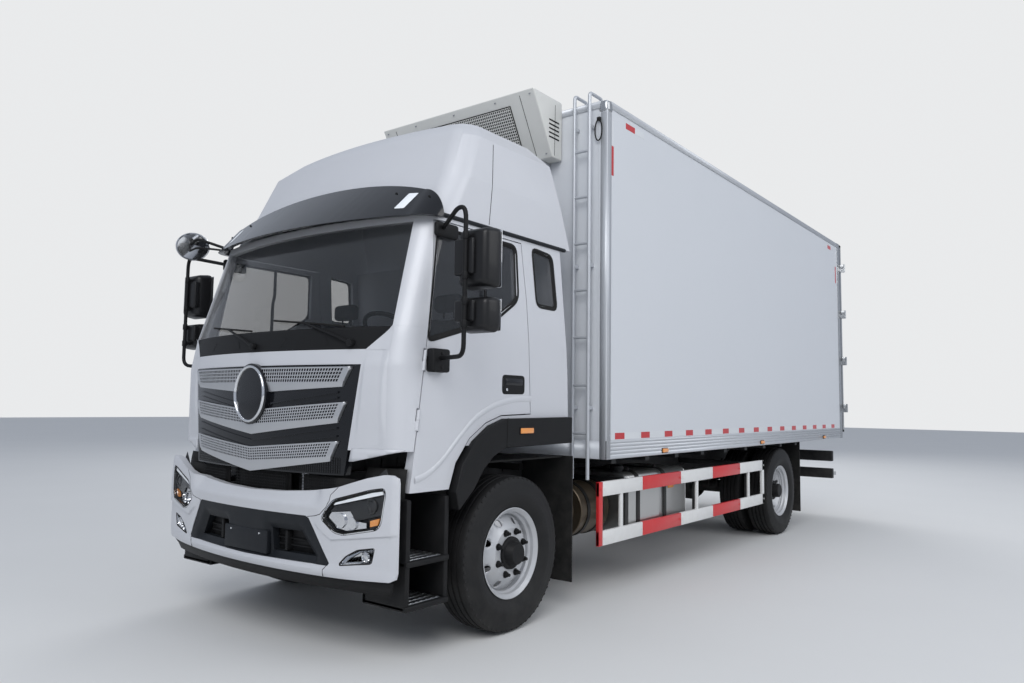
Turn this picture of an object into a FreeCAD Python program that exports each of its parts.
"""Refrigerated truck: two-axle chassis, tilting cab, insulated box and cooling unit.

Frame: +Z up, the front faces -Y, +X is the vehicle's left side, millimetres.
The origin lies on the ground in the middle of the vehicle's length and width.
Cells that end in _y are measured backwards from the front axle, heights from the ground.
"""
import FreeCAD, Part
import Sketcher
import math
import os
import re

V = FreeCAD.Vector
doc = FreeCAD.newDocument("RefrigeratedTruck")
sheet = doc.addObject("Spreadsheet::Sheet", "Dims")

# alias, value in mm (or degrees), what it is
SIZES = (
    ("total_length", 9040, "whole vehicle"),
    ("front_overhang", 1250, "front axle to foremost point"),
    ("wheel_base", 5200, "front axle to rear axle"),
    # wheels
    ("tyre_radius", 506, "tyre outside"),
    ("tyre_half", 138, "half of the tyre's width"),
    ("tread_half", 108, "half of the tread's width"),
    ("shoulder_drop", 24, "tread to shoulder"),
    ("bead_radius", 286, "rim seat"),
    ("bead_half", 105, "half of the rim seat"),
    ("flange_radius", 295, "rim flange"),
    ("flange_width", 13, "rim flange across"),
    ("rim_wall", 22, "rim seat to its inside"),
    ("disc_wall", 14, "wheel disc"),
    ("dish", 160, "wheel's middle to its mounting face"),
    ("disc_radius", 190, "flat middle of the wheel disc"),
    ("disc_root", 85, "where the disc leaves the rim"),
    ("hub_radius", 110, "hub"),
    ("hub_depth", 150, "hub behind the front disc"),
    ("hub_cap_radius", 72, "hub cap"),
    ("hub_cap_out", 52, "hub cap ahead of the disc"),
    ("rear_hub_out", 120, "rear hub ahead of its disc"),
    ("hand_hole", 27, "hand hole's radius"),
    ("hand_pitch", 205, "hand holes from the axis"),
    ("nut_pitch", 140, "wheel nuts from the axis"),
    ("nut_radius", 15, "wheel nut"),
    ("nut_height", 34, "wheel nut and stud"),
    ("front_track_half", 1060, "front wheel's middle plane"),
    ("rear_outer_half", 1085, "outer rear wheel's middle plane"),
    # axles
    ("kingpin_x", 880, "kingpin from the middle"),
    ("fist_radius", 48, "axle end round the kingpin"),
    ("beam_half_height", 45, "front axle beam"),
    ("beam_half_depth", 50, "front axle beam"),
    ("fork_play", 6, "between the axle's fist and the knuckle's plate"),
    ("fork_gap", 0.3, "running gap between fist and knuckle"),
    ("fist_half_height", 90, "axle end at the kingpin"),
    ("knuckle_arm", 32, "thickness of the knuckle's fork arms"),
    ("knuckle_plate", 40, "knuckle's upright plate"),
    ("knuckle_half", 60, "half width of the knuckle"),
    ("spindle_radius", 40, "stub axle"),
    ("axle_tube", 75, "rear axle tube"),
    ("banjo_radius", 190, "differential housing"),
    ("shaft_radius", 50, "propeller shaft"),
    ("shaft_z", 640, "propeller shaft"),
    # frame
    ("rail_outer", 430, "outside of a frame rail"),
    ("rail_flange", 75, "rail flange"),
    ("rail_wall", 9, "rail plate"),
    ("rail_top", 1030, "top of the frame"),
    ("rail_height", 260, "frame rail"),
    ("rail_front_y", -1020, "front end of the frame"),
    ("rail_rear_y", 7450, "rear end of the frame"),
    ("plate_wall", 12, "coupling plate at the frame's end"),
    ("plate_wide", 160, "coupling bolts across"),
    ("plate_high", 100, "coupling bolts upwards"),
    ("plate_hole", 10.5, "coupling bolt hole's radius"),
    ("cross_width", 90, "cross member along the frame"),
    ("spring_width", 80, "leaf pack"),
    ("spring_height", 70, "leaf pack"),
    ("front_spring_half", 800, "half of the front leaf pack"),
    ("rear_spring_half", 850, "half of the rear leaf pack"),
    # cab shell
    ("cab_wall", 45, "cab walls and doors"),
    ("cab_bottom", 1050, "lower edge of the front panel"),
    ("floor_bottom", 1220, "cab floor underside"),
    ("floor_wall", 40, "cab floor"),
    ("corner_bottom", 1200, "lower edge of the corner panels"),
    ("door_gap", 8, "round every door"),
    ("glass_inset", 12, "glass behind the outer skin"),
    ("glass_wall", 6, "glass"),
    ("hinge_radius", 11, "cab door knuckle"),
    ("hinge_notch", 17, "room round a knuckle"),
    ("hinge_length", 60, "one knuckle"),
    ("roof_wall", 30, "roof cap"),
    ("tilt_y", -1095, "cab tilt pivot"),
    ("tilt_z", 880, "cab tilt pivot"),
    ("tilt_radius", 26, "cab tilt pin"),
    ("lug_back", 72, "tilt lug's rear face behind the pin"),
    ("lug_wall", 38, "upright of a tilt lug, front to back"),
    # front
    ("grille_half_top", 872, "front panel at its top"),
    ("grille_half_bottom", 775, "front panel at its bottom"),
    ("grille_top", 1700, "black panel's top"),
    ("cowl_bottom", 1790, "cowl panel's lower edge"),
    ("screen_bottom", 1925, "windscreen's lower edge"),
    ("screen_top", 2590, "windscreen's upper edge"),
    ("screen_half_bottom", 1035, "windscreen's half width below"),
    ("screen_half_top", 985, "windscreen's half width above"),
    ("visor_rear_y", -700, "ends of the sun visor"),
    ("slat_out", 26, "slats ahead of the panel"),
    ("slat_dip", 105, "how far a slat's middle hangs down"),
    ("badge_out", 45, "oval ring ahead of the panel"),
    ("badge_radius", 165, "oval ring, half height"),
    ("badge_z", 1523, "oval ring's middle"),
    ("cab_corner_long", 165, "cab's rounded front corner, backwards"),
    ("cab_corner_wide", 150, "cab's rounded front corner, inwards"),
    ("bumper_corner_long", 50, "bumper's rounded end, backwards"),
    ("bumper_corner_wide", 70, "bumper's rounded end, inwards"),
    ("bumper_wall", 9, "bumper skin"),
    ("bumper_top", 1000, "bumper's top in the middle"),
    ("bumper_rear_y", -1060, "ends of the bumper"),
    ("bumper_dip_half", 790, "half width of the bumper's low middle"),
    ("bumper_rise_half", 900, "where the bumper's ends reach full height"),
    ("apron_bottom", 400, "black apron's lower edge"),
    ("apron_inset", 45, "apron behind the bumper"),
    ("mouth_top", 870, "trapezoid opening"),
    ("mouth_bottom", 630, "trapezoid opening"),
    ("mouth_half_top", 520, "trapezoid opening"),
    ("mouth_half_bottom", 640, "trapezoid opening"),
    ("lamp_depth", 110, "headlamp and fog lamp housings"),
    # box
    ("box_half", 1280, "half width of the box"),
    ("box_wall", 80, "insulated wall"),
    ("box_front_y", 1020, "front of the box"),
    ("box_frame_y", 7676, "rear face of the door frame"),
    ("box_bottom", 1070, "underside of the box"),
    ("box_floor_top", 1210, "load floor"),
    ("box_top", 3900, "roof of the box"),
    ("post_width", 62, "aluminium corner post"),
    ("post_out", 6, "edge rails proud of the panels"),
    ("frame_depth", 110, "rear door frame, along the box"),
    ("frame_width", 60, "rear door frame, inwards of the walls"),
    ("leaf_wall", 85, "cargo door leaf"),
    ("leaf_gap", 6, "round a cargo door leaf"),
    ("pivot_out", 45, "cargo hinge pin beside the box"),
    ("pivot_back", 85, "cargo hinge pin behind the frame"),
    ("strap_height", 60, "cargo hinge strap"),
    ("strap_wall", 12, "cargo hinge strap"),
    ("lug_wall", 14, "cargo hinge lug"),
    ("strap_reach", 260, "cargo hinge strap over the leaf"),
    ("knuckle_radius", 12, "cargo hinge knuckle"),
    ("bar_radius", 13, "lock bar"),
    ("bar_sunk", 3, "lock bar into its keepers on the leaf"),
    ("bar_inner", 90, "inner lock bar from the middle"),
    ("bar_outer", 620, "outer lock bar from the middle"),
    # cooling unit and ladder
    ("unit_half", 850, "half width of the cooling unit"),
    ("unit_rise", 60, "cooling unit above the box"),
    ("unit_height", 490, "cooling unit"),
    ("unit_front_top_y", 610, "cooling unit's upper front edge"),
    ("unit_front_bottom_y", 890, "cooling unit's lower front edge"),
    ("ladder_inner", 1010, "ladder rail"),
    ("ladder_outer", 1150, "ladder rail"),
    ("ladder_tube", 14, "ladder tube's radius"),
    ("ladder_off", 60, "ladder ahead of the wall"),
    ("ladder_bottom", 915, "ladder's lower end"),
    ("rung_first", 1264, "lowest rung"),
    ("rung_pitch", 371, "between rungs"),
    # sides
    ("guard_half", 1240, "outside of the side guard"),
    ("guard_wall", 28, "side guard beams"),
    ("guard_front_y", 985, "side guard"),
    ("guard_rear_y", 4540, "side guard"),
    ("guard_top", 900, "upper beam"),
    ("guard_bottom", 420, "lower beam"),
    ("guard_beam", 110, "height of a beam"),
    ("guard_post", 45, "side guard post"),
    ("guard_arm", 50, "cantilever arm of the side guard"),
    ("tank_front_y", 1500, "fuel tank"),
    ("tank_rear_y", 2620, "fuel tank"),
    ("tank_inner", 560, "fuel tank"),
    ("tank_outer", 1190, "fuel tank"),
    ("tank_bottom", 445, "fuel tank"),
    ("tank_top", 935, "fuel tank"),
    ("tank_round", 90, "fuel tank's edges"),
    ("tank_bracket", 60, "tank bracket along the frame"),
    ("muffler_front_y", 1000, "silencer"),
    ("muffler_rear_y", 1420, "silencer"),
    ("muffler_x", 860, "silencer's middle"),
    ("muffler_z", 660, "silencer's middle"),
    ("muffler_radius", 215, "silencer"),
    ("battery_front_y", 1550, "battery box"),
    ("battery_rear_y", 2150, "battery box"),
    ("reservoir_radius", 120, "air reservoir"),
    ("reservoir_front_y", 3000, "air reservoirs"),
    ("reservoir_rear_y", 3900, "air reservoirs"),
    ("reservoir_x", 620, "air reservoirs"),
    ("reservoir_z", 820, "air reservoirs"),
    # steps, guards, rear
    ("step_front_y", -960, "cab steps"),
    ("step_rear_y", -602, "cab steps"),
    ("step_inner", 800, "cab steps"),
    ("step_outer", 1165, "cab steps"),
    ("step_low", 345, "lower tread"),
    ("step_mid", 590, "upper tread"),
    ("step_wall", 40, "step treads and end walls"),
    ("step_top", 930, "top of the step well"),
    ("flare_outer", 1192, "outside of the wheel arch flares"),
    ("flare_width", 90, "flare, across the truck"),
    ("flap_y", 700, "flap behind the front wheel"),
    ("flap_bottom", 200, "flaps above the ground"),
    ("flap_wall", 12, "flaps and mudguards"),
    ("guard_inner", 720, "mudguards' inner edge"),
    ("guard_edge", 1180, "mudguards' outer edge"),
    ("liner_height", 1095, "front mudguard over the tyre"),
    ("rear_flap_y", 670, "rear flap behind the rear axle"),
    ("rear_bar_half", 1190, "rear bars"),
    ("lamp_bar_top", 886, "tail lamp bar"),
    ("lamp_bar_bottom", 740, "tail lamp bar"),
    ("under_bar_top", 638, "underrun bar"),
    ("under_bar_bottom", 500, "underrun bar"),
    ("rear_bar_wall", 70, "rear bars along the truck"),
    # cab inside
    ("seat_width", 500, "seat"),
    ("seat_x", 560, "seat from the middle"),
    ("seat_front_y", -420, "seat cushion"),
    ("seat_depth", 500, "seat cushion"),
    ("seat_height", 1640, "top of the seat cushion"),
    ("cushion_wall", 130, "seat cushion"),
    ("back_wall", 120, "seat back"),
    ("back_height", 640, "seat back"),
    ("bunk_front_y", 180, "rest bunk behind the seats"),
    ("dash_rear_y", -640, "dashboard"),
    ("dash_rise", 240, "dashboard above the seat cushion"),
    ("dash_height", 380, "dashboard"),
    ("wheel_tube", 15, "steering wheel's rim"),
    ("wheel_radius", 225, "steering wheel"),
    ("steer_x", 560, "steering wheel from the middle"),
    ("steer_y", -520, "steering wheel"),
    ("steer_rise", 290, "steering wheel above the seat cushion"),
    ("steer_tilt", 35, "steering wheel from level, degrees"),
    # engine
    ("engine_half", 330, "engine block"),
    ("engine_front_y", -820, "engine"),
    ("engine_rear_y", 620, "engine and gearbox"),
    ("engine_bottom", 560, "engine"),
    ("engine_top", 1190, "engine"),
    # mirrors
    ("arm_tube", 14, "mirror arm's tube radius"),
    ("arm_x", 1430, "mirror arm's upright"),
    ("arm_y", -857, "mirror arm"),
    ("arm_top", 2555, "mirror arm"),
    ("arm_bend", 60, "mirror arm's bends"),
    ("arm_bottom", 1760, "mirror arm"),
    ("head_inner", 1372, "mirror heads"),
    ("head_outer", 1622, "mirror heads"),
    ("head_top", 2490, "main mirror"),
    ("head_bottom", 2130, "main mirror"),
    ("wide_top", 2085, "wide mirror"),
    ("wide_bottom", 1880, "wide mirror"),
    ("head_front_y", -848, "mirror heads"),
    ("head_depth", 100, "mirror heads"),
    ("oval_x", 1350, "front mirror, on the right"),
    ("oval_y", -957, "front mirror"),
    ("oval_z", 2682, "front mirror"),
    ("oval_half", 158, "front mirror's long half"),
    ("oval_depth", 60, "front mirror's depth"),
    ("oval_rise", 102, "front mirror's short half"),
)

# Cab rings from the sill up: name, height, middle of the nose, corner, rear wall, half width
CAB_RINGS = (
    ("sill", 940, -1196, -1040, 700, 1150),
    ("belt", 1700, -1205, -1045, 672, 1150),
    ("cowl", 1910, -1165, -1005, 655, 1150),
    ("head", 2640, -900, -782, 600, 1118),
)
# Roof cap rings, the same columns
CAP_RINGS = (
    ("gutter", 2640, -860, -735, 735, 1124),
    ("brow", 2940, -655, -560, 640, 1106),
    ("crown", 3260, -505, -420, 548, 1062),
    ("top", 3400, -340, -270, 440, 930),
)
# Bumper rings and visor rings, the same columns
BUMPER_RINGS = (
    ("lip", 540, -1200, -1075, -700, 1180),
    ("crease", 700, -1250, -1100, -700, 1188),
    ("shoulder", 870, -1236, -1090, -700, 1190),
    ("ledge", 1060, -1206, -1070, -700, 1188),
)
VISOR_RINGS = (
    ("peak", 2612, -1035, -870, -600, 1152),
    ("rim", 2945, -690, -590, -400, 1124),
)
RING_COLUMNS = ("z", "nose", "corner", "back", "half")

# Outlines on the cab's side: rear distance from the front axle, height
DOOR = (
    ("front_low", -942, 957), ("foot_rear", -602, 957), ("arch_low", -545, 1115),
    ("arch_mid", -420, 1262), ("arch_high", -265, 1355), ("arch_top", -112, 1400),
    ("rear_low", 219, 1411), ("rear_mid", 175, 2189), ("rear_top", 124, 2600),
    ("front_top", -730, 2600),
)
WINDOW = (
    ("front_low", -812, 1845), ("kink", -201, 2035), ("rear_low", 60, 2188),
    ("rear_top", 51, 2560), ("front_top", -705, 2560),
)
QUARTER = (
    ("front_low", 292, 2182), ("rear_low", 539, 2179),
    ("rear_top", 496, 2557), ("front_top", 250, 2578),
)
FLARE = (
    ("lip_front", -554, 835), ("inner_low", -417, 951), ("inner_mid", -325, 1068),
    ("inner_high", -227, 1146), ("inner_top", -100, 1195), ("inner_rear", 683, 1205),
    ("outer_rear", 683, 1393), ("outer_top", -105, 1385), ("outer_high", -256, 1340),
    ("outer_mid", -408, 1246), ("outer_low", -530, 1106), ("lip_top", -585, 945),
)
# seen from the front: point, distance from the middle, height
HEADLAMP = (
    ("inner_low", 865, 800), ("outer_low", 1045, 830), ("rear_low", 1088, 862),
    ("rear_top", 1092, 1003), ("inner_top", 792, 952), ("inner", 772, 905),
)
FOGLAMP = (
    ("inner_low", 905, 640), ("outer_low", 1090, 640), ("outer_top", 1080, 737),
    ("top", 965, 712), ("inner", 915, 672),
)
SLATS = (
    ("top_slat", 1682, 1568, 815),
    ("middle_slat", 1478, 1362, 785),
    ("low_slat", 1250, 1138, 740),
)
SLAT_COLUMNS = ("top", "bottom", "half")

cells = {alias: value for alias, value, _note in SIZES}
for rings in (CAB_RINGS, CAP_RINGS, BUMPER_RINGS, VISOR_RINGS):
    for ring, *values in rings:
        for column, value in zip(RING_COLUMNS, values):
            cells[f"{ring}_{column}"] = value
for slat, *values in SLATS:
    for column, value in zip(SLAT_COLUMNS, values):
        cells[f"{slat}_{column}"] = value
for outline, table in (("door", DOOR), ("window", WINDOW), ("quarter", QUARTER), ("flare", FLARE)):
    for point, rear, height in table:
        cells[f"{outline}_{point}_y"] = rear
        cells[f"{outline}_{point}_z"] = height
for lamp, table in (("headlamp", HEADLAMP), ("foglamp", FOGLAMP)):
    for point, across, height in table:
        cells[f"{lamp}_{point}_x"] = across
        cells[f"{lamp}_{point}_z"] = height
for row, (alias, value) in enumerate(cells.items(), 1):
    sheet.set(f"A{row}", alias)
    sheet.set(f"B{row}", str(value))
    sheet.setAlias(f"B{row}", alias)
doc.recompute()


def size(alias):
    """The number in one cell of the sheet."""
    return float(sheet.get(alias))


# Short words that stand for a longer expression
DERIVED = {
    "axle": "(front_overhang - total_length / 2)",
    "rear_axle": "(front_overhang - total_length / 2 + wheel_base)",
    "box_front": "(front_overhang - total_length / 2 + box_front_y)",
    "box_rear": "(front_overhang - total_length / 2 + box_frame_y)",
    "unit_top": "(box_top + unit_rise)",
    "unit_bottom": "(box_top + unit_rise - unit_height)",
}
WORD = re.compile(r"[a-z][a-z_0-9]*[a-z0-9]")
AXLE = size("front_overhang") - size("total_length") / 2
NODES = []


def bound(text):
    """Turn words of the sheet into references that FreeCAD can follow."""
    for word, longer in DERIVED.items():
        text = re.sub(rf"\b{word}\b", longer, text)
    return WORD.sub(lambda hit: f"Dims.{hit.group(0)}" if hit.group(0) in cells else hit.group(0), text)


def node(thing, name):
    """Name a finished sub-part, which is written to a file of that name."""
    thing.Label = name
    NODES.append(thing)
    return thing


def place(thing, x, y, z):
    for letter, text in (("x", x), ("y", y), ("z", z)):
        thing.setExpression(f"Placement.Base.{letter}", bound(text))
    return thing


def block(name, x, y, z):
    """A box between two bounds along each axis."""
    thing = doc.addObject("Part::Box", name)
    for side, (low, high) in zip(("Length", "Width", "Height"), (x, y, z)):
        thing.setExpression(side, bound(f"({high}) - ({low})"))
    return place(thing, x[0], y[0], z[0])


TURNS = {
    "x": FreeCAD.Rotation(V(0, 1, 0), 90),
    "y": FreeCAD.Rotation(V(1, 0, 0), -90),
    "z": FreeCAD.Rotation(),
}


def rod(name, axis, start, radius, length):
    """A cylinder that runs from start along one axis."""
    thing = doc.addObject("Part::Cylinder", name)
    thing.Placement.Rotation = TURNS[axis]
    thing.setExpression("Radius", bound(radius))
    thing.setExpression("Height", bound(length))
    return place(thing, *start)


def join(name, pieces):
    thing = doc.addObject("Part::MultiFuse", name)
    thing.Shapes = pieces
    return thing


def gather(name, pieces):
    """Separate pieces that share one node."""
    thing = doc.addObject("Part::Compound", name)
    thing.Links = pieces
    return thing


def less(name, base, tool):
    thing = doc.addObject("Part::Cut", name)
    thing.Base = base
    thing.Tool = tool
    return thing


def mirrored(name, source):
    """The same piece on the other side of the vehicle."""
    thing = doc.addObject("Part::Mirroring", name)
    thing.Source = source
    thing.Normal = V(1, 0, 0)
    return thing


def both(name, piece):
    return gather(name, [piece, mirrored(name + "_other", piece)])


PLANES = {
    "YZ": (FreeCAD.Rotation(V(0, 1, 0), V(0, 0, 1), V(1, 0, 0), "XYZ"), "x"),
    "XZ": (FreeCAD.Rotation(V(1, 0, 0), V(0, 0, 1), V(0, -1, 0), "XYZ"), "y"),
    "XY": (FreeCAD.Rotation(), "z"),
}


def outline_sketch(name, points, owner=None):
    """A closed outline of straight lines, each corner bound to the sheet."""
    maker = owner.newObject if owner else doc.addObject
    sketch = maker("Sketcher::SketchObject", name)
    count = len(points)
    rough = [V(100 * math.cos(2 * math.pi * i / count), 100 * math.sin(2 * math.pi * i / count), 0)
             for i in range(count)]
    lines = [sketch.addGeometry(Part.LineSegment(rough[i], rough[(i + 1) % count]))
             for i in range(count)]
    for i, line in enumerate(lines):
        sketch.addConstraint(Sketcher.Constraint("Coincident", line, 2, lines[(i + 1) % count], 1))
    for line, (across, up) in zip(lines, points):
        for kind, text in (("DistanceX", across), ("DistanceY", up)):
            index = sketch.addConstraint(Sketcher.Constraint(kind, -1, 1, line, 1, 0.0))
            sketch.setExpression(f"Constraints[{index}]", bound(text))
    return sketch


def prism(name, plane, points, low, high):
    """An outline in a plane, swept along that plane's normal from low to high."""
    turn, letter = PLANES[plane]
    sketch = outline_sketch(name + "_outline", points)
    sketch.Placement.Rotation = turn
    start = high if plane == "XZ" else low
    sketch.setExpression(f"Placement.Base.{letter}", bound(start))
    thing = doc.addObject("Part::Extrusion", name)
    thing.Base = sketch
    thing.DirMode = "Normal"
    thing.Solid = True
    thing.setExpression("LengthFwd", bound(f"({high}) - ({low})"))
    return thing


def feature(name, shape):
    thing = doc.addObject("Part::Feature", name)
    thing.Shape = shape
    return thing


# ---------------------------------------------------------------- shells drawn by rings

def ring(name, inset, corner, height=None):
    """A level outline: straight sides and rear, rounded corners and a bowed nose."""
    z = size(f"{name}_z") if height is None else height
    half = size(f"{name}_half") - inset
    back = AXLE + size(f"{name}_back") - inset
    nose = AXLE + size(f"{name}_nose") + inset
    cheek = AXLE + size(f"{name}_corner") + inset
    long, wide = size(f"{corner}_corner_long"), size(f"{corner}_corner_wide")
    bend = math.sqrt(0.5)

    def side(sign):
        start = V(sign * half, cheek + long, z)
        middle = V(sign * (half - wide * (1 - bend)), cheek + long * (1 - bend), z)
        return start, middle, V(sign * (half - wide), cheek, z)

    left, right = side(1), side(-1)
    rear_left, rear_right = V(half, back, z), V(-half, back, z)
    return Part.Wire([
        Part.makeLine(rear_left, left[0]),
        Part.Arc(*left).toShape(),
        Part.Arc(left[2], V(0, nose, z), right[2]).toShape(),
        Part.Arc(right[2], right[1], right[0]).toShape(),
        Part.makeLine(right[0], rear_right),
        Part.makeLine(rear_right, rear_left),
    ])


def hull(rings, inset, corner="cab"):
    """The closed volume through a table of rings, drawn in by a wall's thickness."""
    return Part.makeLoft([ring(row[0], inset, corner) for row in rings], True, True)


def plate(points, plane, low, high):
    """A flat outline of (across, up) points swept between two planes."""
    if plane == "YZ":
        corners = [V(low, across, up) for across, up in points]
        sweep = V(high - low, 0, 0)
    else:
        corners = [V(across, low, up) for across, up in points]
        sweep = V(0, high - low, 0)
    return Part.Face(Part.makePolygon(corners + corners[:1])).extrude(sweep)


def side_outline(name, table):
    return [(AXLE + size(f"{name}_{row[0]}_y"), size(f"{name}_{row[0]}_z")) for row in table]


def grown(points, distance):
    """The same outline moved outwards, or inwards by a negative distance."""
    face = Part.Face(Part.makePolygon([V(across, up, 0) for across, up in points + points[:1]]))
    wire = face.makeOffset2D(distance, 2).OuterWire
    return [(corner.Point.x, corner.Point.y) for corner in wire.OrderedVertexes]


def flipped(shape):
    return shape.mirror(V(0, 0, 0), V(1, 0, 0))


def slab(x, y, z):
    return Part.makeBox(x[1] - x[0], y[1] - y[0], z[1] - z[0], V(x[0], y[0], z[0]))


def tube(points, bend, radius):
    """A round bar along straight runs with one bend at each inner corner."""
    edges, start = [], points[0]
    for before, corner, after in zip(points, points[1:], points[2:]):
        into, out = (corner - before).normalize(), (after - corner).normalize()
        turn = into.getAngle(out)
        back = bend * math.tan(turn / 2)
        first, last = corner - into * back, corner + out * back
        inward = (out - into).normalize()
        middle = corner + inward * (bend / math.cos(turn / 2) - bend)
        edges += [Part.makeLine(start, first), Part.Arc(first, middle, last).toShape()]
        start = last
    edges.append(Part.makeLine(start, points[-1]))
    run = (points[1] - points[0]).normalize()
    section = Part.Wire([Part.makeCircle(radius, points[0], run)])
    return Part.Wire(edges).makePipeShell([section], True, False)


WALL = size("cab_wall")
FRONT, REAR = AXLE - 2 * size("front_overhang"), AXLE + size("box_front_y")
WIDE = 2 * size("sill_half")
cab_outer = hull(CAB_RINGS, 0)
cab_inner = hull(CAB_RINGS, WALL)
cab_skin = cab_outer.cut(cab_inner)
GLASS_FRONT = size("glass_inset")
glass_skin = hull(CAB_RINGS, GLASS_FRONT).cut(hull(CAB_RINGS, GLASS_FRONT + size("glass_wall")))

door_hole = side_outline("door", DOOR)
DOOR_REACH = size("screen_half_top")
door_zone = plate(door_hole, "YZ", DOOR_REACH, WIDE)
door_zones = door_zone.fuse(flipped(door_zone))
flare_line = side_outline("flare", FLARE)
window_line = side_outline("window", WINDOW)
quarter_line = side_outline("quarter", QUARTER)


def front_zone(half_bottom, bottom, half_top, top):
    """The part of the nose inside a symmetric trapezoid seen from the front."""
    corners = [(-half_bottom, bottom), (half_bottom, bottom), (half_top, top), (-half_top, top)]
    return plate(corners, "XZ", FRONT, AXLE + size("head_corner") + 2 * WALL)


grille_zone = front_zone(size("grille_half_bottom"), size("cab_bottom"),
                         size("grille_half_top"), size("grille_top"))
cowl_zone = front_zone(size("screen_half_bottom"), size("cowl_bottom"),
                       size("screen_half_bottom"), size("screen_bottom"))
screen_zone = front_zone(size("screen_half_bottom"), size("screen_bottom"),
                         size("screen_half_top"), size("screen_top"))
nose_zone = front_zone(WIDE, size("corner_bottom"), WIDE, size("screen_bottom"))
flare_zone = plate(grown(flare_line, size("fork_gap")), "YZ",
                   size("flare_outer") - size("flare_width") - size("fork_gap"), WIDE)
flare_zones = flare_zone.fuse(flipped(flare_zone))


# ---------------------------------------------------------------- cab

def seam_point(height):
    """A point of the cab door's hinge line at some height."""
    low_y, low_z = door_hole[0]
    top_y, top_z = door_hole[-1]
    share = (height - low_z) / (top_z - low_z)
    return V(size("sill_half"), low_y + share * (top_y - low_y), height)


HINGE_LINE = (seam_point(size("screen_top")) - seam_point(size("door_front_low_z"))).normalize()


def hinge_piece(height, radius, length):
    return Part.makeCylinder(radius, length, seam_point(height), HINGE_LINE)


HINGE_HEIGHTS = (size("corner_bottom") + 2 * size("hinge_length"),
                 size("cowl_bottom") - 2 * size("hinge_length"))


def hinge_set(radius, extra):
    """Knuckles of the fixed side, then of the door side, above one another."""
    length = size("hinge_length")
    fixed = [hinge_piece(low - extra, radius, length + 2 * extra) for low in HINGE_HEIGHTS]
    moving = [hinge_piece(low + length - extra, radius, length + 2 * extra) for low in HINGE_HEIGHTS]
    return fixed, moving


knuckles_fixed, knuckles_moving = hinge_set(size("hinge_radius"), -size("fork_gap") / 2)
notches_fixed, notches_moving = hinge_set(size("hinge_notch"), size("door_gap"))


def cab_shell():
    """Pillars, header, rear wall and floor, with the tilt tube below."""
    shell = cab_skin.cut(door_zones).cut(flare_zones).cut(screen_zone)
    shell = shell.cut(nose_zone).cut(front_zone(WIDE, 0, WIDE, size("corner_bottom")))
    quarter = plate(quarter_line, "YZ", -WIDE, WIDE)
    low = slab((-WIDE, WIDE), (FRONT, REAR), (0, size("floor_bottom")))
    shell = shell.cut(quarter).cut(low)
    level = slab((-WIDE, WIDE), (FRONT, REAR),
                 (size("floor_bottom"), size("floor_bottom") + size("floor_wall")))
    floor = cab_inner.common(level).cut(door_zones).cut(flare_zones)
    reach = size("rail_outer") - size("rail_flange") - size("fork_gap")
    pivot = V(-reach, AXLE + size("tilt_y"), size("tilt_z"))
    pin = Part.makeCylinder(size("tilt_radius"), 2 * reach, pivot, V(1, 0, 0))
    lugs = []
    for sign in (-1, 1):
        middle = sign * (reach - size("tilt_radius"))
        width = (middle - size("tilt_radius"), middle + size("tilt_radius"))
        back = pivot.y + size("lug_back")
        lugs.append(slab(width, (pivot.y, back),
                         (pivot.z - size("tilt_radius"), pivot.z + size("tilt_radius"))))
        lugs.append(slab(width, (back - size("lug_wall"), back),
                         (pivot.z, size("floor_bottom") + size("floor_wall") / 2)))
    return shell.fuse([floor, pin] + lugs).removeSplitter()


def front_panels():
    """Silver corner panels and the band over the grille, with the doors' fixed knuckles."""
    panels = cab_skin.common(nose_zone).cut(grille_zone).cut(cowl_zone).cut(door_zones)
    for piece in notches_moving:
        panels = panels.cut(piece).cut(flipped(piece))
    for piece in knuckles_fixed:
        panels = panels.fuse([piece, flipped(piece)])
    return panels.removeSplitter()


def cab_door():
    """The left door: one hollow-looking slab of the cab's side with its window cut."""
    panel_line = grown(door_hole, -size("door_gap"))
    panel = cab_skin.common(plate(panel_line, "YZ", DOOR_REACH, WIDE))
    panel = panel.cut(plate(window_line, "YZ", DOOR_REACH, WIDE))
    for piece in notches_fixed:
        panel = panel.cut(piece)
    return panel.fuse(knuckles_moving).removeSplitter()


def mirror_arm():
    """Left mirror arm: a bowed tube between two brackets on the door."""
    y, x, radius = AXLE + size("arm_y"), size("arm_x"), size("arm_tube")
    low, top = size("arm_bottom"), size("arm_top")
    foot_y = AXLE + size("window_front_low_y") + size("head_depth")
    skin = size("sill_half")
    head_y = seam_point(top).y + 7 * radius
    points = [V(skin, foot_y, low), V(x, y, low), V(x, y, top), V(skin - WALL, head_y, top)]
    arm = tube(points, size("arm_bend"), radius)
    low_bracket = slab((skin, skin + 3 * radius), (foot_y - 6 * radius, foot_y + 6 * radius),
                       (low - 6 * radius, low + 3 * radius))
    top_bracket = slab((skin - WALL, skin + 2 * radius), (head_y - 5 * radius, head_y + 5 * radius),
                       (top - 3 * radius, top + 2 * radius))
    heads = []
    for bottom, upper in (("head_bottom", "head_top"), ("wide_bottom", "wide_top")):
        heads.append(slab((size("head_inner"), size("head_outer")),
                          (AXLE + size("head_front_y"),
                           AXLE + size("head_front_y") + size("head_depth")),
                          (size(bottom), size(upper))))
    whole = arm.fuse([low_bracket, top_bracket] + heads).cut(cab_outer)
    return max(whole.Solids, key=lambda solid: solid.Volume).removeSplitter()


cap_outer = hull(CAP_RINGS, 0)


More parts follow.
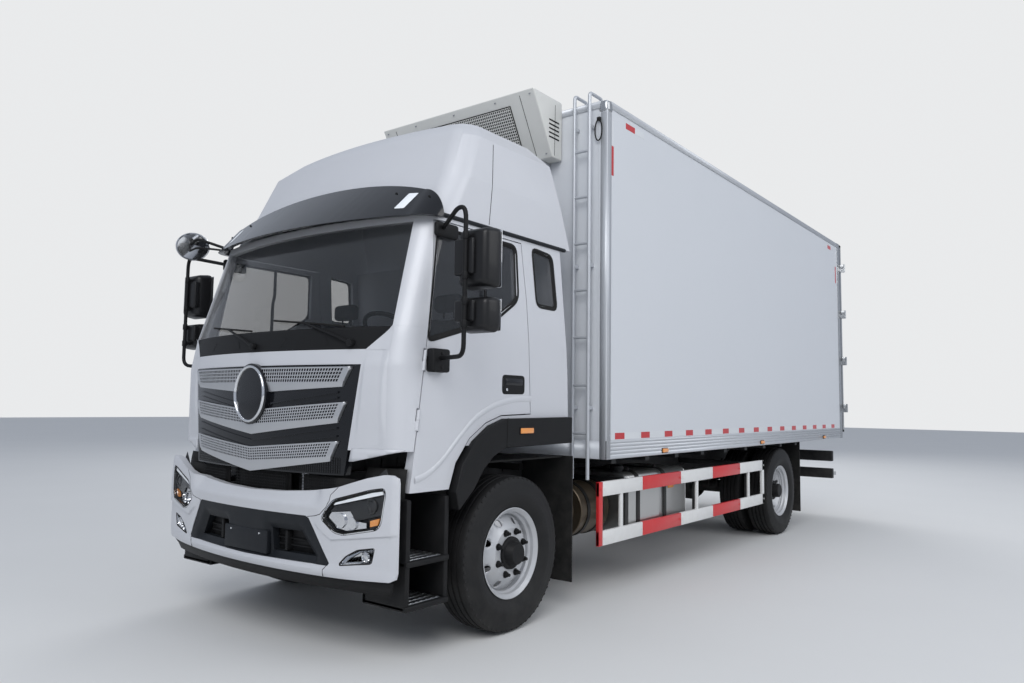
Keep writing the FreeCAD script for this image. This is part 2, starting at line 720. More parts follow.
def sun_visor():
    """A bowed dark visor over the windscreen, resting on the roof cap."""
    body = hull(VISOR_RINGS, 0).cut(hull(VISOR_RINGS, size("roof_wall")))
    rear = slab((-WIDE, WIDE), (AXLE + size("visor_rear_y"), REAR), (0, size("box_top")))
    top_gap = slab((-WIDE, WIDE), (FRONT, REAR), (size("rim_z") - 1, size("rim_z")))
    filler = hull(VISOR_RINGS, 0).common(top_gap)
    body = body.fuse(filler).cut(rear).cut(cap_outer).cut(cab_outer)
    return max(body.Solids, key=lambda solid: solid.Volume).removeSplitter()


def slat_piece(name):
    """One grille slat: a shallow chevron standing proud of the front panel."""
    top, bottom, half = (size(f"{name}_{column}") for column in SLAT_COLUMNS)
    dip = size("slat_dip")
    corners = [(-half, bottom), (0, bottom - dip), (half, bottom), (half, top),
               (0, top - dip), (-half, top)]
    front = hull(CAB_RINGS, -size("slat_out")).cut(hull(CAB_RINGS, -size("fork_gap")))
    return front.common(plate(corners, "XZ", FRONT, AXLE + size("belt_corner")))


def badge_ring():
    """The oval ring in the middle of the grille, left blank inside."""
    middle = V(0, AXLE + size("belt_nose") - size("badge_out"), size("badge_z"))
    disc = Part.makeCylinder(size("badge_radius"), size("badge_out") + WALL, middle, V(0, 1, 0))
    return disc.cut(cab_outer)


def grille_slats():
    badge = badge_ring()
    return Part.makeCompound([slat_piece(row[0]).cut(badge) for row in SLATS] + [badge])


node(feature("CabShell", cab_shell()), "cab_shell")
cap_room = hull(CAP_RINGS, size("roof_wall")).common(
    slab((-WIDE, WIDE), (FRONT, REAR), (0, size("top_z") - size("roof_wall"))))
node(feature("RoofCap", cap_outer.cut(cap_room)), "cab_roof_cap")
visor = sun_visor()
node(feature("SunVisor", visor), "sun_visor")
node(feature("FrontPanels", front_panels()), "front_panels")
node(feature("GrillePanel", cab_skin.common(grille_zone)), "grille_panel")
node(feature("GrilleSlats", grille_slats()), "grille_slats")
node(feature("CowlPanel", cab_skin.common(cowl_zone)), "cowl_panel")
quarter_glass = glass_skin.common(plate(quarter_line, "YZ", 0, WIDE))
node(feature("CabGlass", Part.makeCompound([
    glass_skin.common(screen_zone), quarter_glass, flipped(quarter_glass)])), "cab_glass")
flare = plate(flare_line, "YZ", size("flare_outer") - size("flare_width"), size("flare_outer"))
node(feature("Flares", Part.makeCompound([flare, flipped(flare)])), "wheel_arch_flares")
for side, turn in (("left", lambda shape: shape), ("right", flipped)):
    node(feature(f"Door_{side}", turn(cab_door())), f"door_{side}")
    glass = glass_skin.common(plate(window_line, "YZ", DOOR_REACH, WIDE))
    node(feature(f"DoorGlass_{side}", turn(glass)), f"door_glass_{side}")
    node(feature(f"Mirror_{side}", turn(mirror_arm())), f"mirror_{side}")
oval = doc.addObject("Part::Ellipsoid", "Oval")
oval.setExpression("Radius1", bound("oval_rise"))
oval.setExpression("Radius2", bound("oval_half"))
oval.setExpression("Radius3", bound("oval_depth"))
place(oval, "-oval_x", "axle + oval_y", "oval_z")
oval_front = less("OvalShell", oval, block(
    "OvalRear", ("-oval_x - 2 * oval_half", "-oval_x + 2 * oval_half"),
    ("axle + oval_y", "axle + oval_y + 2 * oval_depth"),
    ("oval_z - 2 * oval_rise", "oval_z + 2 * oval_rise")))


def oval_arm():
    """Arm of the front mirror, from the right windscreen pillar."""
    foot = V(-size("screen_half_top") - WALL, AXLE + size("head_corner") + WALL,
             size("screen_top") + size("arm_tube"))
    elbow = V(-size("oval_x") + size("oval_half") / 2, AXLE + size("oval_y") + size("head_depth"),
              size("oval_z") - size("oval_rise") / 2)
    end = V(-size("oval_x"), AXLE + size("oval_y") - size("oval_depth") / 2, size("oval_z"))
    arm = tube([foot, elbow, end], size("arm_bend"), size("arm_tube"))
    arm = arm.cut(cab_outer).cut(cap_outer).cut(visor)
    return max(arm.Solids, key=lambda solid: solid.Volume)


node(join("FrontMirror", [oval_front, feature("OvalArm", oval_arm())]), "front_mirror")


# ---------------------------------------------------------------- cab inside

def dashboard():
    """Dashboard between the doors, shaped by the inside of the nose."""
    reach = size("head_half") - 2 * WALL
    top = size("seat_height") + size("dash_rise")
    bottom = top - size("dash_height")
    room = slab((-reach, reach), (FRONT, AXLE + size("dash_rear_y")), (bottom, top))
    leg = slab((-reach / 3, reach / 3), (FRONT, AXLE + size("dash_rear_y") - WALL),
               (size("floor_bottom") + size("floor_wall"), bottom))
    return room.fuse(leg).common(cab_inner).removeSplitter()


def steering_wheel():
    """Rim, three spokes, hub and the column down to the dashboard."""
    middle = V(size("steer_x"), AXLE + size("steer_y"), size("seat_height") + size("steer_rise"))
    lean = math.radians(size("steer_tilt"))
    axis = V(0, math.sin(lean), math.cos(lean))
    radius, bar = size("wheel_radius"), size("wheel_tube")
    parts = [Part.makeTorus(radius, bar, middle, axis),
             Part.makeCylinder(4 * bar, 4 * bar, middle - axis * 2 * bar, axis),
             Part.makeCylinder(2 * bar, 2 * radius, middle - axis * 2 * radius, axis)]
    for angle in (0, 120, 240):
        way = FreeCAD.Rotation(axis, angle).multVec(V(0, -axis.z, axis.y))
        parts.append(Part.makeCylinder(0.8 * bar, radius, middle, way))
    whole = parts[0].fuse(parts[1:]).cut(dashboard())
    return max(whole.Solids, key=lambda solid: solid.Volume)


node(feature("Dashboard", dashboard()), "dashboard")
node(feature("SteeringWheel", steering_wheel()), "steering_wheel")
floor_top = "floor_bottom + floor_wall"
seat = join("Seat", [
    block("SeatBase", ("seat_x - seat_width / 3", "seat_x + seat_width / 3"),
          ("axle + seat_front_y + cushion_wall", "axle + seat_front_y + seat_depth"),
          (floor_top, "seat_height - cushion_wall")),
    block("SeatCushion", ("seat_x - seat_width / 2", "seat_x + seat_width / 2"),
          ("axle + seat_front_y", "axle + seat_front_y + seat_depth"),
          ("seat_height - cushion_wall", "seat_height")),
    block("SeatBack", ("seat_x - seat_width / 2", "seat_x + seat_width / 2"),
          ("axle + seat_front_y + seat_depth - back_wall", "axle + seat_front_y + seat_depth"),
          ("seat_height", "seat_height + back_height")),
])
bunk = block("Bunk", ("-head_half + 2 * cab_wall", "head_half - 2 * cab_wall"),
             ("axle + bunk_front_y", "axle + head_back - 2 * cab_wall"),
             (floor_top, "seat_height + cushion_wall"))
node(gather("Seats", [seat, mirrored("SeatOther", seat), bunk]), "seats")


# ---------------------------------------------------------------- bumper and lamps

bumper_rear = slab((-WIDE, WIDE), (AXLE + size("bumper_rear_y"), REAR), (0, size("box_top")))


def bumper_layer(depth):
    """The bumper's outer volume down to a depth, open behind."""
    solid = hull(BUMPER_RINGS, 0, "bumper").cut(hull(BUMPER_RINGS, depth, "bumper"))
    return solid.cut(bumper_rear)


def bumper_cut(half_top, top, half_bottom, bottom, margin=0):
    corners = [(-half_bottom - margin, bottom - margin), (half_bottom + margin, bottom - margin),
               (half_top + margin, top + margin), (-half_top - margin, top + margin)]
    return plate(corners, "XZ", FRONT, AXLE + size("bumper_rear_y"))


def lamp_zone(name, table, margin=0):
    """The part of the bumper's face that one lamp fills."""
    corners = [(size(f"{name}_{row[0]}_x"), size(f"{name}_{row[0]}_z")) for row in table]
    if margin:
        corners = grown(corners, margin)
    return plate(corners, "XZ", FRONT, AXLE + size("bumper_rear_y"))


LAMPS = (("headlamp", HEADLAMP), ("foglamp", FOGLAMP))
mouth = bumper_cut(size("mouth_half_top"), size("mouth_top"),
                   size("mouth_half_bottom"), size("mouth_bottom"))


def bumper():
    """Three-part bumper skin with its mouth and the lamps' openings."""
    skin = bumper_layer(size("bumper_wall"))
    dip = bumper_cut(size("bumper_rise_half"), size("ledge_z"), size("bumper_dip_half"),
                     size("bumper_top"))
    skin = skin.cut(dip).cut(mouth)
    for row in LAMPS:
        hole = lamp_zone(*row, margin=size("fork_gap"))
        skin = skin.cut(hole).cut(flipped(hole))
    arms = []
    for sign in (-1, 1):
        middle = sign * (size("rail_outer") - size("rail_flange") / 2)
        half = size("rail_flange") / 2
        arms.append(slab((middle - half, middle + half),
                         (AXLE + size("crease_nose"),
                          AXLE + size("tilt_y") - size("tilt_radius") + size("fork_play")),
                         (size("mouth_top") + size("bumper_wall"), size("bumper_top") - half)))
    arm = arms[0].fuse(arms[1]).common(hull(BUMPER_RINGS, 0, "bumper"))
    return skin.fuse(arm).removeSplitter()


def bumper_insert():
    """Black backing of the mouth and the apron under the bumper."""
    inset = size("apron_inset")
    wall = size("bumper_wall")
    rows = [ring("lip", inset, "bumper", size(height)) for height in ("apron_bottom", "mouth_top")]
    rows_in = [ring("lip", inset + wall, "bumper", size(height))
               for height in ("apron_bottom", "mouth_top")]
    skin = Part.makeLoft(rows, True, True).cut(Part.makeLoft(rows_in, True, True))
    keep = plate([(-WIDE, 0), (WIDE, 0), (WIDE, size("lip_z")),
                  (size("mouth_half_bottom"), size("lip_z")),
                  (size("mouth_half_bottom"), size("mouth_top")),
                  (-size("mouth_half_bottom"), size("mouth_top")),
                  (-size("mouth_half_bottom"), size("lip_z")), (-WIDE, size("lip_z"))],
                 "XZ", FRONT, REAR)
    skin = skin.common(keep).cut(bumper_rear)
    half = size("rail_flange") / 2
    for sign in (-1, 1):
        middle = sign * (size("rail_outer") - half)
        skin = skin.fuse(slab((middle - half, middle + half),
                              (AXLE + size("lip_nose") + inset + wall / 2,
                               AXLE + size("rail_front_y")),
                              (size("rail_top") - size("rail_height"),
                               size("rail_top") - size("rail_height") + half)))
    return skin.removeSplitter()


def lamps():
    depth = bumper_layer(size("lamp_depth"))
    pieces = []
    for row in LAMPS:
        lamp = depth.common(lamp_zone(*row))
        pieces += [lamp, flipped(lamp)]
    return Part.makeCompound(pieces)


node(feature("Bumper", bumper()), "bumper")
node(feature("BumperInsert", bumper_insert()), "bumper_insert")
node(feature("FrontLamps", lamps()), "front_lamps")


# ---------------------------------------------------------------- frame, engine, springs

rail_bottom = "rail_top - rail_height"
rail_y = ("axle + rail_front_y", "axle + rail_rear_y")
rail = join("Rail", [
    block("RailWeb", ("rail_outer - rail_wall", "rail_outer"), rail_y, (rail_bottom, "rail_top")),
    block("RailTop", ("rail_outer - rail_flange", "rail_outer"), rail_y,
          ("rail_top - rail_wall", "rail_top")),
    block("RailBottom", ("rail_outer - rail_flange", "rail_outer"), rail_y,
          (rail_bottom, f"{rail_bottom} + rail_wall")),
])
CROSS_MEMBERS = (-1010, 720, 1500, 2400, 3300, 4200, 6200, 6900)
cross = [block(f"Cross_{i}", ("-rail_outer + rail_wall / 2", "rail_outer - rail_wall / 2"),
               (f"axle + {y}", f"axle + {y} + cross_width"),
               (f"{rail_bottom} + rail_wall", "rail_top - rail_wall"))
         for i, y in enumerate(CROSS_MEMBERS)]
tilt_bracket = block("TiltBracket", ("rail_outer - rail_flange", "rail_outer"),
                     ("axle + tilt_y - tilt_radius + fork_play", "axle + rail_front_y"),
                     ("tilt_z - 2 * tilt_radius", "tilt_z + 2 * tilt_radius"))
cab_rest = block("CabRest", ("rail_outer - rail_flange", "rail_outer"),
                 ("axle + engine_rear_y - cross_width", "axle + engine_rear_y"),
                 ("rail_top", "floor_bottom - fork_gap"))
end_plate = block("EndPlate", ("-rail_outer + rail_wall / 2", "rail_outer - rail_wall / 2"),
                  ("axle + rail_rear_y - plate_wall", "axle + rail_rear_y"),
                  (f"{rail_bottom} + rail_wall / 2", "rail_top - rail_wall / 2"))
plate_holes = [rod(f"PlateHole_{i}{j}", "y",
                   (f"{i} * plate_wide / 2", "axle + rail_rear_y - 2 * plate_wall",
                    f"rail_top - rail_height / 2 + {j} * plate_high / 2"),
                   "plate_hole", "3 * plate_wall")
               for i in (-1, 1) for j in (-1, 1)]
coupling_plate = less("CouplingPlate", end_plate, join("PlateHoles", plate_holes))
half_frame = join("HalfFrame", [rail, tilt_bracket, cab_rest])
node(join("Frame", [half_frame, mirrored("FrameOther", half_frame), coupling_plate]
          + cross), "ladder_frame")

engine_mounts = [block(f"EngineMount_{i}", ("engine_half", "rail_outer - rail_wall"),
                       (f"axle + engine_{end}_y - {back} * cross_width",
                        f"axle + engine_{end}_y + {1 - back} * cross_width"),
                       ("rail_top - rail_height / 2", "rail_top - rail_height / 4"))
                 for i, (end, back) in enumerate((("front", -1), ("rear", 2)))]
engine_block = block("EngineBlock", ("-engine_half", "engine_half"),
                     ("axle + engine_front_y", "axle + engine_rear_y"),
                     ("engine_bottom", "engine_top"))
node(join("Engine", [engine_block] + engine_mounts
          + [mirrored(piece.Name + "Other", piece) for piece in engine_mounts]), "engine")


def leaf_pack(name, middle, half, seat_height):
    """A leaf pack on its axle with a hanger at each end."""
    x = ("rail_outer - rail_flange", "rail_outer - rail_flange + spring_width")
    top = f"{seat_height} + spring_height"
    pieces = [block(f"{name}Pack", x, (f"{middle} - {half}", f"{middle} + {half}"),
                    (seat_height, top))]
    for end, near, far in (("Front", f"{middle} - {half}", f"{middle} - {half} + spring_width"),
                           ("Rear", f"{middle} + {half} - spring_width", f"{middle} + {half}")):
        pieces.append(block(f"{name}{end}", x, (near, far), (top, rail_bottom)))
    return join(name, pieces)


front_leaf = leaf_pack("FrontLeaf", "axle", "front_spring_half", "tyre_radius + beam_half_height")
rear_leaf = leaf_pack("RearLeaf", "rear_axle", "rear_spring_half", "tyre_radius + axle_tube")
node(gather("Springs", [front_leaf, mirrored("FrontLeafOther", front_leaf),
                        rear_leaf, mirrored("RearLeafOther", rear_leaf)]), "leaf_springs")


# ---------------------------------------------------------------- axles and wheels

fist = rod("Fist", "z", ("kingpin_x", "axle", "tyre_radius - fist_half_height"),
           "fist_radius", "2 * fist_half_height")
beam = block("Beam", ("-kingpin_x", "kingpin_x"),
             ("axle - beam_half_depth", "axle + beam_half_depth"),
             ("tyre_radius - beam_half_height", "tyre_radius + beam_half_height"))
node(join("FrontAxle", [beam, fist, mirrored("FistOther", fist)]), "front_axle")

hub_face = "front_track_half + dish - hub_depth"
fork_low = "tyre_radius - fist_half_height - fork_gap - knuckle_arm"
fork_high = "tyre_radius + fist_half_height + fork_gap"
plate_x = ("kingpin_x + fist_radius + fork_play",
           "kingpin_x + fist_radius + knuckle_plate")
knuckle = join("Knuckle", [
    rod("ForkLow", "z", ("kingpin_x", "axle", fork_low), "fist_radius", "knuckle_arm"),
    rod("ForkHigh", "z", ("kingpin_x", "axle", fork_high), "fist_radius", "knuckle_arm"),
    block("ForkArms", ("kingpin_x", plate_x[1]),
          ("axle - fist_radius", "axle + fist_radius"), (fork_high, f"{fork_high} + knuckle_arm")),
    block("ForkFeet", ("kingpin_x", plate_x[1]),
          ("axle - fist_radius", "axle + fist_radius"), (fork_low, f"{fork_low} + knuckle_arm")),
    block("KnucklePlate", plate_x, ("axle - knuckle_half", "axle + knuckle_half"),
          (fork_low, f"{fork_high} + knuckle_arm")),
    rod("Spindle", "x", (plate_x[1], "axle", "tyre_radius"), "spindle_radius",
        f"{hub_face} - fork_gap - ({plate_x[1]})"),
])
node(knuckle, "knuckle_left")
node(mirrored("KnuckleOther", knuckle), "knuckle_right")

mount_x = "rear_outer_half - dish"
rear_tube = rod("RearTube", "x", (f"-({mount_x}) + disc_wall + fork_gap", "rear_axle", "tyre_radius"),
                "axle_tube", f"2 * ({mount_x}) - 2 * disc_wall - 2 * fork_gap")
banjo = rod("Banjo", "x", ("-banjo_radius / 1.5", "rear_axle", "tyre_radius"), "banjo_radius",
            "2 * banjo_radius / 1.5")
shaft = rod("Shaft", "y", ("0", "axle + engine_rear_y", "shaft_z"), "shaft_radius",
            "wheel_base - engine_rear_y")
node(join("RearAxle", [rear_tube, banjo, shaft]), "rear_axle")

TYRE = (("-bead_half", "bead_radius"), ("-bead_half", "flange_radius"),
        ("-tyre_half * 0.97", "flange_radius + 2 * shoulder_drop"),
        ("-tyre_half", "tyre_radius - 4 * shoulder_drop"),
        ("-tyre_half * 0.94", "tyre_radius - shoulder_drop"),
        ("-tread_half", "tyre_radius"), ("tread_half", "tyre_radius"),
        ("tyre_half * 0.94", "tyre_radius - shoulder_drop"),
        ("tyre_half", "tyre_radius - 4 * shoulder_drop"),
        ("tyre_half * 0.97", "flange_radius + 2 * shoulder_drop"),
        ("bead_half", "flange_radius"), ("bead_half", "bead_radius"))
flange_half = "(bead_half + flange_width)"
rim_inside = "(bead_radius - rim_wall)"
RIM = ((f"-{flange_half}", "flange_radius"), ("-bead_half", "flange_radius"),
       ("-bead_half", "bead_radius"), ("bead_half", "bead_radius"),
       ("bead_half", "flange_radius"), (flange_half, "flange_radius"),
       (flange_half, rim_inside), ("disc_root + disc_wall", rim_inside),
       ("dish", "disc_radius"), ("dish", "0"), ("dish - disc_wall", "0"),
       ("dish - disc_wall", "disc_radius - disc_wall / 2"), ("disc_root", rim_inside),
       (f"-{flange_half}", rim_inside))


def spun(name, points, middle, y, flip=False):
    """A ring or disc turned about a line along the truck's width."""
    body = doc.addObject("PartDesign::Body", name)
    sign = "-1 * " if flip else ""
    rows = [(f"{sign}({across})", up) for across, up in points]
    sketch = outline_sketch(f"{name}Outline", rows, body)
    flat = [item for item in body.Origin.OriginFeatures if item.Role == "XY_Plane"][0]
    sketch.AttachmentSupport = [(flat, "")]
    sketch.MapMode = "FlatFace"
    turned = body.newObject("PartDesign::Revolution", f"{name}Turned")
    turned.Profile = sketch
    turned.ReferenceAxis = (sketch, ["H_Axis"])
    turned.Angle = 360
    body.Tip = turned
    return place(body, middle, y, "tyre_radius")


def around(name, start, pitch, radius, length, y):
    """Eight short rods spaced evenly round a wheel's axis."""
    return [rod(f"{name}{i}", "x", (start, f"{y} + {pitch} * cos({45 * i} deg)",
                                    f"tyre_radius + {pitch} * sin({45 * i} deg)"), radius, length)
            for i in range(8)]


def front_rim():
    rim = spun("FrontRim", RIM, "front_track_half", "axle")
    face = "front_track_half + dish"
    solid = join("FrontRimSolid", [
        rim,
        rod("FrontHub", "x", (hub_face, "axle", "tyre_radius"), "hub_radius",
            "hub_depth - disc_wall / 2"),
        rod("FrontCap", "x", (f"{face} - disc_wall", "axle", "tyre_radius"), "hub_cap_radius",
            "hub_cap_out + disc_wall"),
    ] + around("FrontNut", f"{face} - disc_wall / 2", "nut_pitch", "nut_radius",
               "nut_height + disc_wall / 2", "axle"))
    holes = join("FrontHoles", around("FrontHole", "front_track_half + disc_root - disc_wall",
                                      "hand_pitch", "hand_hole", "dish", "axle"))
    return less("FrontRimCut", solid, holes)


def rear_rims():
    """Twin rims back to back with the hub that shows in the outer one."""
    inner_middle = "rear_outer_half - 2 * dish"
    outer = spun("RearRimOuter", RIM, "rear_outer_half", "rear_axle", flip=True)
    inner = spun("RearRimInner", RIM, inner_middle, "rear_axle")
    solid = join("RearRimSolid", [
        outer, inner,
        rod("RearHub", "x", (mount_x, "rear_axle", "tyre_radius"), "hub_radius", "rear_hub_out"),
        rod("RearCap", "x", (f"{mount_x} + rear_hub_out", "rear_axle", "tyre_radius"),
            "hub_cap_radius", "hub_cap_out"),
    ] + around("RearNut", mount_x, "nut_pitch", "nut_radius", "nut_height + disc_wall", "rear_axle"))
    holes = join("RearHoles", around("RearHole", f"{inner_middle} + disc_root - disc_wall",
                                     "hand_pitch", "hand_hole",
                                     "2 * dish - 2 * disc_root + 2 * disc_wall", "rear_axle"))
    return less("RearRimCut", solid, holes)


front_tyre = spun("FrontTyre", TYRE, "front_track_half", "axle")
rear_tyres = gather("RearTyres", [
    spun("RearTyreOuter", TYRE, "rear_outer_half", "rear_axle"),
    spun("RearTyreInner", TYRE, "rear_outer_half - 2 * dish", "rear_axle")])
for name, piece in (("front_tyre", front_tyre), ("front_rim", front_rim()),
                    ("rear_tyres", rear_tyres), ("rear_rims", rear_rims())):
    node(piece, f"{name}_left")
    node(mirrored(piece.Name + "Other", piece), f"{name}_right")


# ---------------------------------------------------------------- insulated box

panel = "(box_half - post_out)"
core = f"({panel} - box_wall)"
front_face = "(box_front + post_out)"
frame_face = "(box_rear - frame_depth)"
roof_face = "(box_top - post_out)"
ceiling = f"({roof_face} - box_wall)"
long = (front_face, frame_face)

BEARER_PITCH = 560
BEARERS = 9
bearers = [block(f"Bearer_{i}", (f"-{panel} + box_wall / 2", f"{panel} - box_wall / 2"),
                 (f"{front_face} + {150 + BEARER_PITCH * i}", f"{front_face} + {220 + BEARER_PITCH * i}"),
                 ("rail_top", "box_bottom")) for i in range(BEARERS)]
sill = block("Sill", ("rail_outer - rail_flange", "rail_outer"), long, ("rail_top", "box_bottom"))
deck = block("Deck", (f"-{panel}", panel), long, ("box_bottom", "box_floor_top"))
node(join("BoxFloor", [deck, sill, mirrored("SillOther", sill)] + bearers), "box_floor")
node(block("BoxFront", (f"-{core}", core), (front_face, f"{front_face} + box_wall"),
           ("box_floor_top", ceiling)), "box_front_wall")
node(block("BoxLeft", (core, panel), long, ("box_floor_top", roof_face)), "box_side_left")
node(block("BoxRight", (f"-{panel}", f"-{core}"), long, ("box_floor_top", roof_face)), "box_side_right")
node(block("BoxRoof", (f"-{core}", core), long, (ceiling, roof_face)), "box_roof")

outside = block("RailsOutside", ("-box_half", "box_half"), ("box_front", frame_face),
                ("box_bottom", "box_top"))
window_z = ("box_floor_top - post_out", "box_top - post_width")
cuts = [
    block("RailsInside", (f"-{panel}", panel), (front_face, f"{frame_face} + post_width"),
          ("box_bottom - post_width", roof_face)),
    block("RailsSide", ("-2 * box_half", "2 * box_half"),
          ("box_front + post_width", "box_rear"), window_z),
    block("RailsFront", ("-box_half + post_width", "box_half - post_width"),
          ("box_front - post_width", "box_front + box_wall"), window_z),
    block("RailsRoof", ("-box_half + post_width", "box_half - post_width"),
          ("box_front + post_width", "box_rear"), ("box_top - post_width", "box_top + post_width")),
]
node(less("BoxRails", outside, join("RailCuts", cuts)), "box_edge_rails")

portal = block("Portal", ("-box_half", "box_half"), (frame_face, "box_rear"),
               ("box_bottom", "box_top"))
doorway = block("Doorway", (f"-{core} + frame_width", f"{core} - frame_width"),
                (f"{frame_face} - box_wall", "box_rear + box_wall"),
                ("box_floor_top + post_out", f"{ceiling} - frame_width / 2"))
pin = ("box_half + pivot_out", "box_rear + pivot_back")
leaf_bottom, leaf_top = "(box_bottom + leaf_wall)", "(box_top - leaf_gap)"
LEAF_HINGES = 4
hinge_z = [f"({leaf_bottom} + ({leaf_top} - {leaf_bottom}) * {2 * i + 1} / {2 * LEAF_HINGES})"
           for i in range(LEAF_HINGES)]
lug_x = ("box_half", "box_half + lug_wall")


def hinge_lug(index, z):
    """A lug off the side wall with a knuckle under the leaf's strap."""
    top = f"{z} - fork_gap"
    low = f"{z} - strap_height"
    arm = block(f"LugArm{index}", lug_x, ("box_rear - strap_height", pin[1]), (low, top))
    bridge = block(f"LugBridge{index}", ("box_half + leaf_gap", pin[0]),
                   (f"{pin[1]} - knuckle_radius", f"{pin[1]} + knuckle_radius"), (low, top))
    knuckle_rod = rod(f"LugKnuckle{index}", "z", (*pin, low), "knuckle_radius",
                      "strap_height - fork_gap")
    return [arm, bridge, knuckle_rod]


lugs = [piece for i, z in enumerate(hinge_z) for piece in hinge_lug(i, z)]
lug_set = join("Lugs", lugs)
node(less("RearFrame", join("RearFrameSolid", [portal, lug_set, mirrored("LugsOther", lug_set)]),
          doorway), "box_rear_frame")

leaf_face = "(box_rear + leaf_gap + leaf_wall)"
leaf_y = ("box_rear + leaf_gap", leaf_face)
leaf_parts = [block("Leaf", ("leaf_gap / 2", "box_half"), leaf_y, (leaf_bottom, leaf_top))]
for i, z in enumerate(hinge_z):
    leaf_parts.append(block(f"Strap{i}", ("box_half - strap_reach", pin[0]),
                            (leaf_face, f"{leaf_face} + strap_wall"), (z, f"{z} + strap_height")))
    leaf_parts.append(rod(f"StrapKnuckle{i}", "z", (*pin, z), "knuckle_radius", "strap_height"))
for i, x in enumerate(("bar_inner", "bar_outer")):
    leaf_parts.append(rod(f"LockBar{i}", "z", (x, f"{leaf_face} + bar_radius - bar_sunk", leaf_bottom),
                          "bar_radius", f"{leaf_top} - {leaf_bottom}"))
cargo_leaf = join("CargoLeaf", leaf_parts)
node(cargo_leaf, "cargo_door_left")
node(mirrored("CargoLeafOther", cargo_leaf), "cargo_door_right")


# ---------------------------------------------------------------- cooling unit and ladder

node(prism("CoolingUnit", "YZ", (
    ("axle + unit_front_bottom_y", "unit_bottom"), ("box_front", "unit_bottom"),
    ("box_front", "unit_top"), ("axle + unit_front_top_y", "unit_top")),
    "-unit_half", "unit_half"), "cooling_unit")


def ladder():
    """Two tube rails that bend over the roof, their rungs and wall brackets."""
    radius = size("ladder_tube")
    face = AXLE + size("box_front_y")
    y, top = face - size("ladder_off"), size("box_top") + size("unit_rise")
    back = face + 2 * size("post_width")
    pieces = []
    for x in (size("ladder_inner"), size("ladder_outer")):
        points = [V(x, y, size("ladder_bottom")), V(x, y, top), V(x, back, top),
                  V(x, back, size("box_top") - size("post_out"))]
        pieces.append(tube(points, 2 * radius, radius))
        height = size("rung_first") + size("rung_pitch") / 2
        while height < size("box_top"):
            pieces.append(slab((x - radius / 2, x + radius / 2), (y, face + size("post_out")),
                               (height, height + 2 * radius)))
            height += 3 * size("rung_pitch")
    height = size("rung_first")
    while height < top - size("rung_pitch") / 2:
        pieces.append(Part.makeCylinder(0.8 * radius, size("ladder_outer") - size("ladder_inner"),
                                        V(size("ladder_inner"), y, height), V(1, 0, 0)))
        height += size("rung_pitch")
    return pieces[0].fuse(pieces[1:]).removeSplitter()


node(feature("Ladder", ladder()), "ladder")


# ---------------------------------------------------------------- side guards, tank and the rest

guard_x = ("guard_half - guard_wall", "guard_half")
guard_y = ("axle + guard_front_y", "axle + guard_rear_y")
guard_parts = [
    block("GuardTop", guard_x, guard_y, ("guard_top - guard_beam", "guard_top")),
    block("GuardLow", guard_x, guard_y, ("guard_bottom", "guard_bottom + guard_beam")),
]
GUARD_POSTS = (1340, 2770, 4090)
posts = [("axle + guard_front_y", "axle + guard_front_y + guard_post"),
         ("axle + guard_rear_y - guard_post", "axle + guard_rear_y")]
posts += [(f"axle + {y} - guard_post / 2", f"axle + {y} + guard_post / 2") for y in GUARD_POSTS]
for i, y in enumerate(posts):
    guard_parts.append(block(f"GuardPost{i}", guard_x, y, ("guard_bottom", "guard_top")))
GUARD_ARMS = (1460, 2770, 4090)
for i, y in enumerate(GUARD_ARMS):
    guard_parts.append(block(f"GuardArm{i}", ("rail_outer", "guard_half - guard_wall"),
                             (f"axle + {y} - guard_arm / 2", f"axle + {y} + guard_arm / 2"),
                             ("guard_top - guard_arm", "guard_top")))
side_guard = join("SideGuard", guard_parts)
node(gather("SideGuards", [side_guard, mirrored("SideGuardOther", side_guard)]), "side_guards")


tank_outline = (
    ("tank_inner + tank_round", "tank_bottom"), ("tank_outer - tank_round", "tank_bottom"),
    ("tank_outer", "tank_bottom + tank_round"), ("tank_outer", "tank_top - tank_round"),
    ("tank_outer - tank_round", "tank_top"), ("tank_inner + tank_round", "tank_top"),
    ("tank_inner", "tank_top - tank_round"), ("tank_inner", "tank_bottom + tank_round"))
tank = prism("Tank", "XZ", tank_outline, "axle + tank_front_y", "axle + tank_rear_y")
TANK_STRAPS = (1686, 2171)
straps = [block(f"TankBracket{i}", ("rail_outer", "tank_inner + tank_round"),
                (f"axle + {y} - tank_bracket / 2", f"axle + {y} + tank_bracket / 2"),
                (rail_bottom, "tank_top - tank_round"))
          for i, y in enumerate(TANK_STRAPS)]
node(join("FuelTank", [tank] + straps), "fuel_tank")
muffler = rod("Muffler", "y", ("muffler_x", "axle + muffler_front_y", "muffler_z"),
              "muffler_radius", "muffler_rear_y - muffler_front_y")
muffler_arm = block("MufflerArm", ("rail_outer", "muffler_x"),
                    ("axle + muffler_front_y + cross_width", "axle + muffler_rear_y - cross_width"),
                    (rail_bottom, f"{rail_bottom} + cross_width"))
node(join("Silencer", [muffler, muffler_arm]), "silencer")
battery_x = ("-tank_outer", "-tank_inner")
battery_y = ("axle + battery_front_y", "axle + battery_rear_y")
battery = block("Battery", battery_x, battery_y, ("under_bar_bottom", "tank_top"))
battery_arm = block("BatteryArm", ("-tank_inner", "-rail_outer"), battery_y,
                    (rail_bottom, f"{rail_bottom} + cross_width"))
node(join("BatteryBox", [battery, battery_arm]), "battery_box")
reservoir = rod("Reservoir", "y", ("-reservoir_x", "axle + reservoir_front_y", "reservoir_z"),
                "reservoir_radius", "reservoir_rear_y - reservoir_front_y")
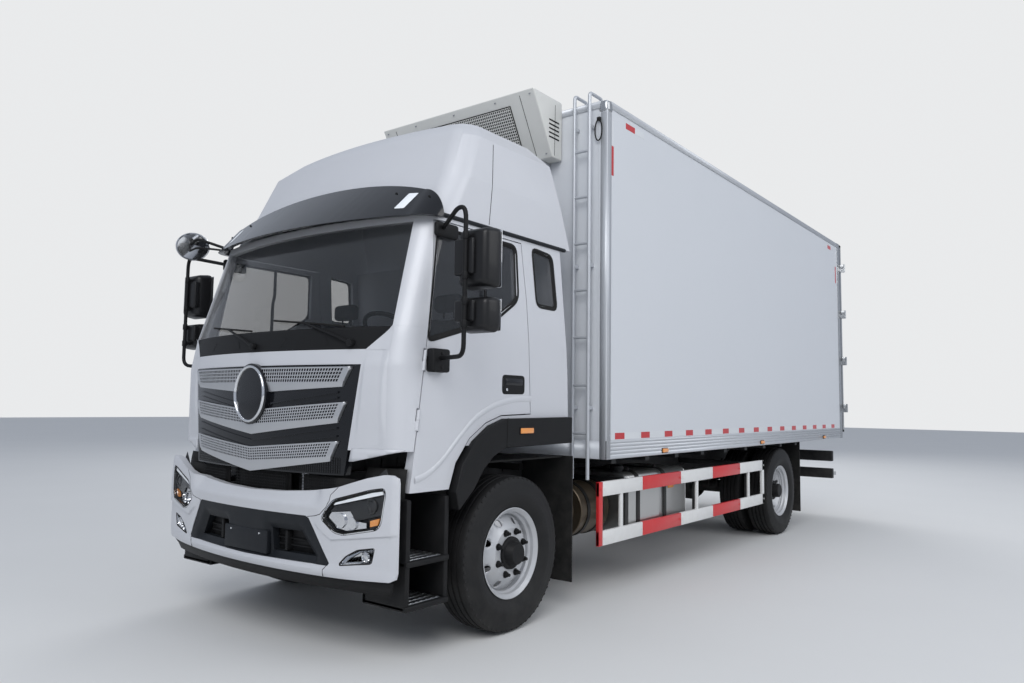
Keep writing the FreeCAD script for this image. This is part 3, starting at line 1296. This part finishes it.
reservoir_arm = block("ReservoirArm", ("-reservoir_x", "-rail_outer"),
                      ("axle + reservoir_front_y + cross_width",
                       "axle + reservoir_rear_y - cross_width"),
                      ("reservoir_z", "reservoir_z + knuckle_arm"))
node(join("AirReservoirs", [reservoir, reservoir_arm]), "air_reservoir")

step_x, step_y = ("step_inner", "step_outer"), ("axle + step_front_y", "axle + step_rear_y")
steps = join("Steps", [
    block("StepLow", step_x, step_y, ("step_low - step_wall", "step_low")),
    block("StepMid", step_x, step_y, ("step_mid - step_wall", "step_mid")),
    block("StepBack", ("step_inner", "step_inner + step_wall"), step_y,
          ("step_low - step_wall", "step_top")),
    block("StepFront", step_x, ("axle + step_front_y", "axle + step_front_y + step_wall"),
          ("step_low - step_wall", "step_top")),
    block("StepRear", step_x, ("axle + step_rear_y - step_wall", "axle + step_rear_y"),
          ("step_low - step_wall", "step_top")),
    block("StepArm", ("rail_outer", "step_inner"),
          ("axle + step_front_y + 2 * step_wall", "axle + step_front_y + 4 * step_wall"),
          ("step_top - 2 * step_wall", "step_top")),
])
node(both("CabSteps", steps), "cab_steps")

front_guard = join("FrontGuard", [
    block("LinerTop", ("guard_inner", "flare_outer - flare_width - flap_wall"),
          ("axle - tyre_radius", "axle + flap_y + flap_wall"),
          ("liner_height", "liner_height + flap_wall")),
    block("LinerRear", ("guard_inner", "guard_edge"),
          ("axle + flap_y", "axle + flap_y + flap_wall"),
          ("flap_bottom", "liner_height + flap_wall")),
    block("LinerArm", ("rail_outer", "guard_inner + flap_wall"),
          ("axle + flap_y - guard_arm", "axle + flap_y + flap_wall"),
          ("rail_top - guard_arm", "rail_top")),
])
rear_flap = block("RearFlap", ("rear_outer_half - 2 * dish - tyre_half", "rear_outer_half + tyre_half"),
                  ("rear_axle + rear_flap_y", "rear_axle + rear_flap_y + flap_wall"),
                  ("flap_bottom", "box_bottom"))
node(gather("Mudguards", [front_guard, mirrored("FrontGuardOther", front_guard),
                          rear_flap, mirrored("RearFlapOther", rear_flap)]), "mudguards")

bar_x = ("-rear_bar_half", "rear_bar_half")
bar_y = ("axle + rail_rear_y", "axle + rail_rear_y + rear_bar_wall")
bar_bracket = block("BarBracket", ("rail_outer - rail_flange", "rail_outer"),
                    ("axle + rail_rear_y - rear_bar_wall", "axle + rail_rear_y"),
                    ("under_bar_bottom", rail_bottom))
node(join("RearGuard", [
    block("LampBar", bar_x, bar_y, ("lamp_bar_bottom", "lamp_bar_top")),
    block("UnderBar", bar_x, bar_y, ("under_bar_bottom", "under_bar_top")),
    bar_bracket, mirrored("BarBracketOther", bar_bracket)]), "rear_guard")


# ---------------------------------------------------------------- checks and export

doc.recompute()
os.makedirs("parts", exist_ok=True)
for thing in doc.Objects:
    if "Invalid" in thing.State or "Error" in thing.State:
        raise RuntimeError(f"{thing.Label} failed: {thing.State}")
for thing in NODES:
    if thing.Shape.isNull() or not thing.Shape.isValid() or not thing.Shape.Solids:
        raise RuntimeError(f"{thing.Label} has no valid solid")
for thing in NODES:
    thing.Shape.exportStep(f"parts/{thing.Label}.step")
print(f"{len(NODES)} sub-parts")
